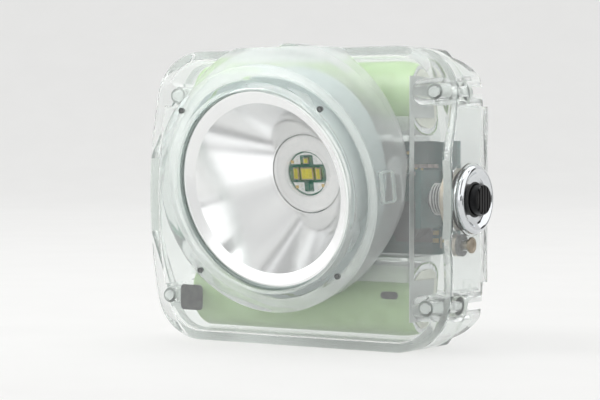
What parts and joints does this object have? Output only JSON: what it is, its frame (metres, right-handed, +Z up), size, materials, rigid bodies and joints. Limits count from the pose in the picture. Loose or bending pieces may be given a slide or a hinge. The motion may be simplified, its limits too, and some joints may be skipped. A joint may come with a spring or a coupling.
{
  "type": "cap lamp",
  "caption": "Cordless miner's cap lamp with a clear two-shell case, tilted round lamp barrel, side push button and rear helmet clip.",
  "frame": {"origin": "on the flat base face, below the battery cells' middle plane", "axes": "+X towards the button side, -Y towards the lens, +Z up"},
  "size_m": [0.0926, 0.0581, 0.0752],
  "materials": {
    "clear_shell": "clear moulded polycarbonate with a faint green tint",
    "lens_glass": "polished clear lens",
    "gasket_rubber": "pale translucent silicone rubber seal",
    "mirror_coat": "vacuum metallised reflector",
    "white_plastic": "white moulded plastic",
    "frosted_plastic": "frosted translucent plastic",
    "board_green": "solder masked circuit board",
    "board_dark": "dark solder masked circuit board",
    "led_ceramic": "white ceramic package",
    "phosphor": "yellow phosphor",
    "thermal_grey": "grey silicone pad",
    "aluminium": "turned aluminium",
    "cell_steel": "nickel plated steel can",
    "cell_sleeve": "green heat-shrink sleeve",
    "insulator_paper": "white insulating paper",
    "nickel": "spot welded nickel strip",
    "foam": "light grey foam strip",
    "component_black": "moulded black package",
    "capacitor_can": "aluminium can",
    "lead_red": "red wire insulation",
    "lead_black": "black wire insulation",
    "chrome": "polished bright metal",
    "button_black": "glossy black plastic",
    "boot_rubber": "black rubber",
    "brass": "brass",
    "spring_steel": "spring wire",
    "clip_steel": "brushed stainless strip",
    "screw_steel": "stainless screws"
  },
  "bodies": {
    "case": {"front_shell": "clear_shell", "rear_shell": "clear_shell", "seam_gasket": "gasket_rubber", "case_screws": "frosted_plastic", "screw_inserts": "frosted_plastic", "front_bezel": "clear_shell", "front_lens": "lens_glass", "lens_seal": "gasket_rubber", "reflector": "mirror_coat", "reflector_carrier": "frosted_plastic", "led_collar": "white_plastic", "led_board": "board_green", "main_led_base": "led_ceramic", "main_led_phosphor": "phosphor", "aux_leds": "led_ceramic", "aux_led_phosphors": "phosphor", "thermal_pad": "thermal_grey", "heat_sink": "aluminium", "upper_cell": "cell_steel", "lower_cell": "cell_steel", "upper_cell_sleeve": "cell_sleeve", "lower_cell_sleeve": "cell_sleeve", "cell_end_insulators": "insulator_paper", "cradle_lower": "frosted_plastic", "cradle_upper": "frosted_plastic", "nickel_tab_positive": "nickel", "nickel_tab_negative": "nickel", "nickel_tab_link": "nickel", "foam_pads": "foam", "driver_board": "board_dark", "protection_board": "board_green", "switch_board": "board_dark", "driver_chip": "component_black", "charger_chip": "component_black", "inductor": "component_black", "capacitors": "capacitor_can", "small_chip_parts": "led_ceramic", "lead_connector": "white_plastic", "battery_lead_red": "lead_red", "battery_lead_black": "lead_black", "led_lead_red": "lead_red", "led_lead_black": "lead_black", "button_ring": "chrome", "button_ring_nut": "brass", "button_boot": "boot_rubber", "push_switch_body": "component_black", "button_spring": "spring_steel", "charge_pin": "brass", "charge_pin_seal": "boot_rubber", "charge_pin_nut": "brass", "contact_strip": "brass", "helmet_clip": "clip_steel", "clip_screws": "screw_steel", "clip_inserts": "brass"},
    "cap": {"button_cap": "button_black"},
    "plunger": {"switch_plunger": "button_black"}
  },
  "joints": [
    {"name": "button_press", "type": "slide", "parent": "case", "child": "cap", "axis": [-1, 0, 0], "range_m": [0, 0.0012], "stiffness_N_per_m": 1500, "springref_m": -0.0004, "deforming": ["button_spring"]},
    {"name": "switch_travel", "type": "slide", "parent": "case", "child": "plunger", "axis": [-1, 0, 0], "range_m": [0, 0.0012]}
  ],
  "couplings": [
    {"joint": "switch_travel", "follows": "button_press", "ratio": 1}
  ]
}
